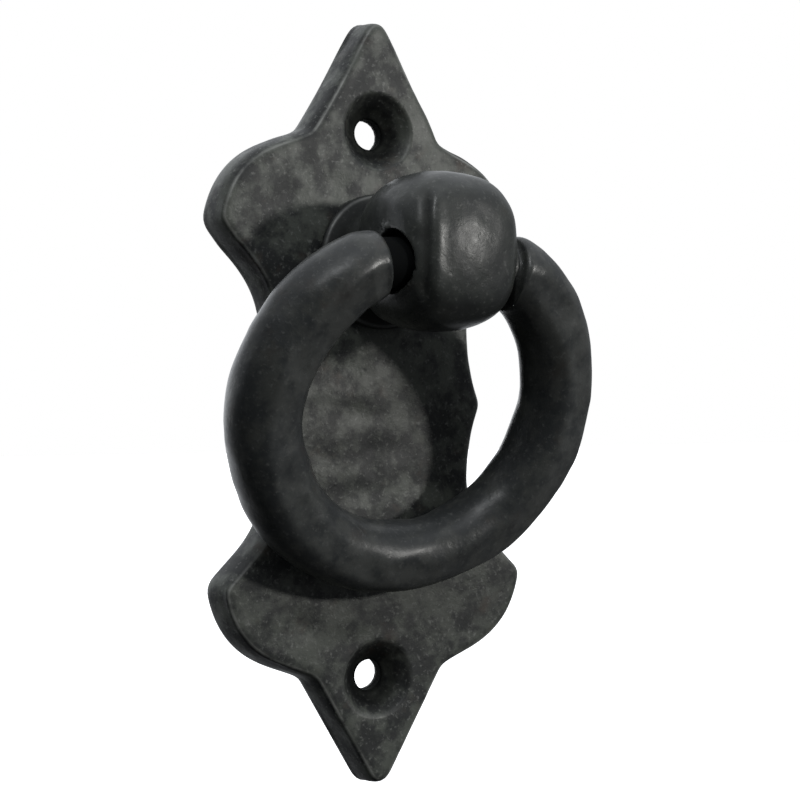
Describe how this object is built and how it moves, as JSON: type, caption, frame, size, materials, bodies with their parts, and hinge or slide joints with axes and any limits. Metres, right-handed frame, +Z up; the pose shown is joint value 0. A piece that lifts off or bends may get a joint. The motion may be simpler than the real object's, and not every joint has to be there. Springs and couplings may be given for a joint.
{
  "type": "door knocker",
  "caption": "Ring door knocker: spear-ended screw-on backplate, ball knob with a cross eye, and a forged ring that swings in the eye and strikes the plate.",
  "frame": {"origin": "centre of the backplate's back face, which lies against the door", "axes": "+Z up, +X across the door to the right as seen from the front, the knocker's front faces -Y and the door is at +Y"},
  "size_m": [0.0646, 0.0365, 0.13],
  "materials": {
    "plate_iron": "black antique finish, satin, softly hammered face with rubbed edges",
    "knob_iron": "black antique finish, satin, smooth with small pits",
    "screw_steel": "blackened steel, dull",
    "ring_iron": "black antique finish, satin, softly hammered bar"
  },
  "bodies": {
    "plate": {"backplate": "plate_iron", "knob": "knob_iron", "knob_screw": "screw_steel"},
    "ring": {"ring": "ring_iron"}
  },
  "joints": [
    {"name": "ring_swing", "type": "hinge", "parent": "plate", "child": "ring", "pos_m": [0, -0.0284, 0.0215], "axis": [-1, 0, 0], "range_deg": [0, 219]}
  ]
}
